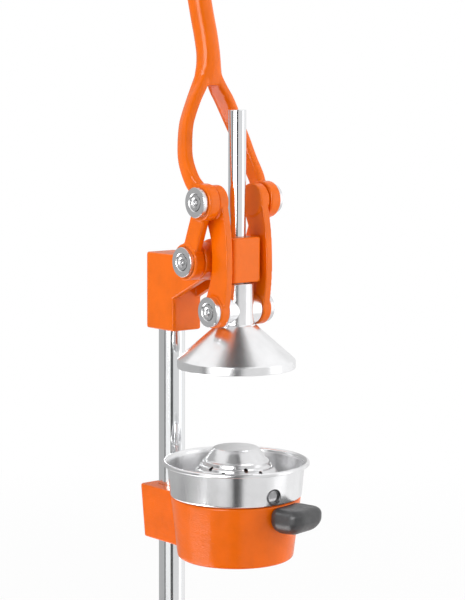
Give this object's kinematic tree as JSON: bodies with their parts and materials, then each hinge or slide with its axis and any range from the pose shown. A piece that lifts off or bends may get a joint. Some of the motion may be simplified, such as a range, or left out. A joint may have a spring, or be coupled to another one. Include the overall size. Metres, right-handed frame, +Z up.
{
  "type": "lever citrus juice press",
  "caption": "Table press for citrus fruit: a forked lever and links push a hollow cone down a column-mounted guide, over a strainer dome in a steel bowl and cup.",
  "frame": {"origin": "on the floor under the middle of the base plate", "axes": "+Z up, -Y towards the front where the grip is, +X to the right seen from the front"},
  "size_m": [0.19, 0.28, 0.859],
  "materials": {
    "orange_coat": "powder-coated casting with a fine pebbled skin",
    "chrome_plate": "bright chrome plate",
    "polished_metal": "polished with faint turning marks",
    "pressed_steel": "bright pressed stainless steel",
    "zinc_steel": "zinc-plated",
    "bronze": "sintered bearing bronze",
    "black_grip": "moulded black, satin",
    "foot_rubber": "matt black rubber"
  },
  "bodies": {
    "frame": {"base_plate": "orange_coat", "foot_front_left": "foot_rubber", "foot_front_right": "foot_rubber", "foot_back_left": "foot_rubber", "foot_back_right": "foot_rubber", "foot_screw_front_left": "zinc_steel", "foot_screw_front_right": "zinc_steel", "foot_screw_back_left": "zinc_steel", "foot_screw_back_right": "zinc_steel", "column": "chrome_plate", "column_washer": "zinc_steel", "column_bolt": "zinc_steel", "cup_casting": "orange_coat", "cup_set_screw_lower": "zinc_steel", "cup_set_screw_upper": "zinc_steel", "front_grip": "black_grip", "front_grip_screw": "zinc_steel", "juice_bowl": "pressed_steel", "strainer_dome": "pressed_steel", "head_bracket": "orange_coat", "head_set_screw_lower": "zinc_steel", "head_set_screw_upper": "zinc_steel", "rod_bush_lower": "bronze", "rod_bush_upper": "bronze", "head_axle": "zinc_steel"},
    "lever": {"lever": "orange_coat", "lever_grip": "black_grip", "lever_bush_a_left": "bronze", "lever_bush_a_right": "bronze", "lever_bush_b_left": "bronze", "lever_bush_b_right": "bronze", "pivot_b_cap_left": "chrome_plate", "pivot_b_cap_right": "chrome_plate", "pivot_b_screw_left": "pressed_steel", "pivot_b_screw_right": "pressed_steel"},
    "links": {"link_left": "orange_coat", "link_right": "orange_coat", "link_bush_left": "bronze", "link_bush_right": "bronze", "pivot_a_pin_left": "zinc_steel", "pivot_a_pin_right": "zinc_steel", "pivot_a_cap_left": "chrome_plate", "pivot_a_cap_right": "chrome_plate", "pivot_a_screw_left": "pressed_steel", "pivot_a_screw_right": "pressed_steel", "pivot_c_pin_left": "zinc_steel", "pivot_c_pin_right": "zinc_steel", "pivot_c_cap_left": "chrome_plate", "pivot_c_cap_right": "chrome_plate", "pivot_c_screw_left": "pressed_steel", "pivot_c_screw_right": "pressed_steel"},
    "plunger": {"press_rod": "chrome_plate", "press_cone": "polished_metal"}
  },
  "joints": [
    {"name": "lever_swing", "type": "hinge", "parent": "frame", "child": "lever", "pos_m": [0, 0.0073, 0.4875], "axis": [1, 0, 0], "range_deg": [0, 110]},
    {"name": "link_swing", "type": "hinge", "parent": "lever", "child": "links", "pos_m": [0, -0.01624, 0.54916], "axis": [1, 0, 0], "range_deg": [-96.3, 0]},
    {"name": "cone_stroke", "type": "slide", "parent": "frame", "child": "plunger", "axis": [0, 0, -1], "range_m": [0, 0.1027]}
  ],
  "couplings": [
    {"joint": "link_swing", "follows": "lever_swing", "ratio": -0.87541},
    {"joint": "cone_stroke", "follows": "lever_swing", "m_per_rad": 0.053446}
  ]
}
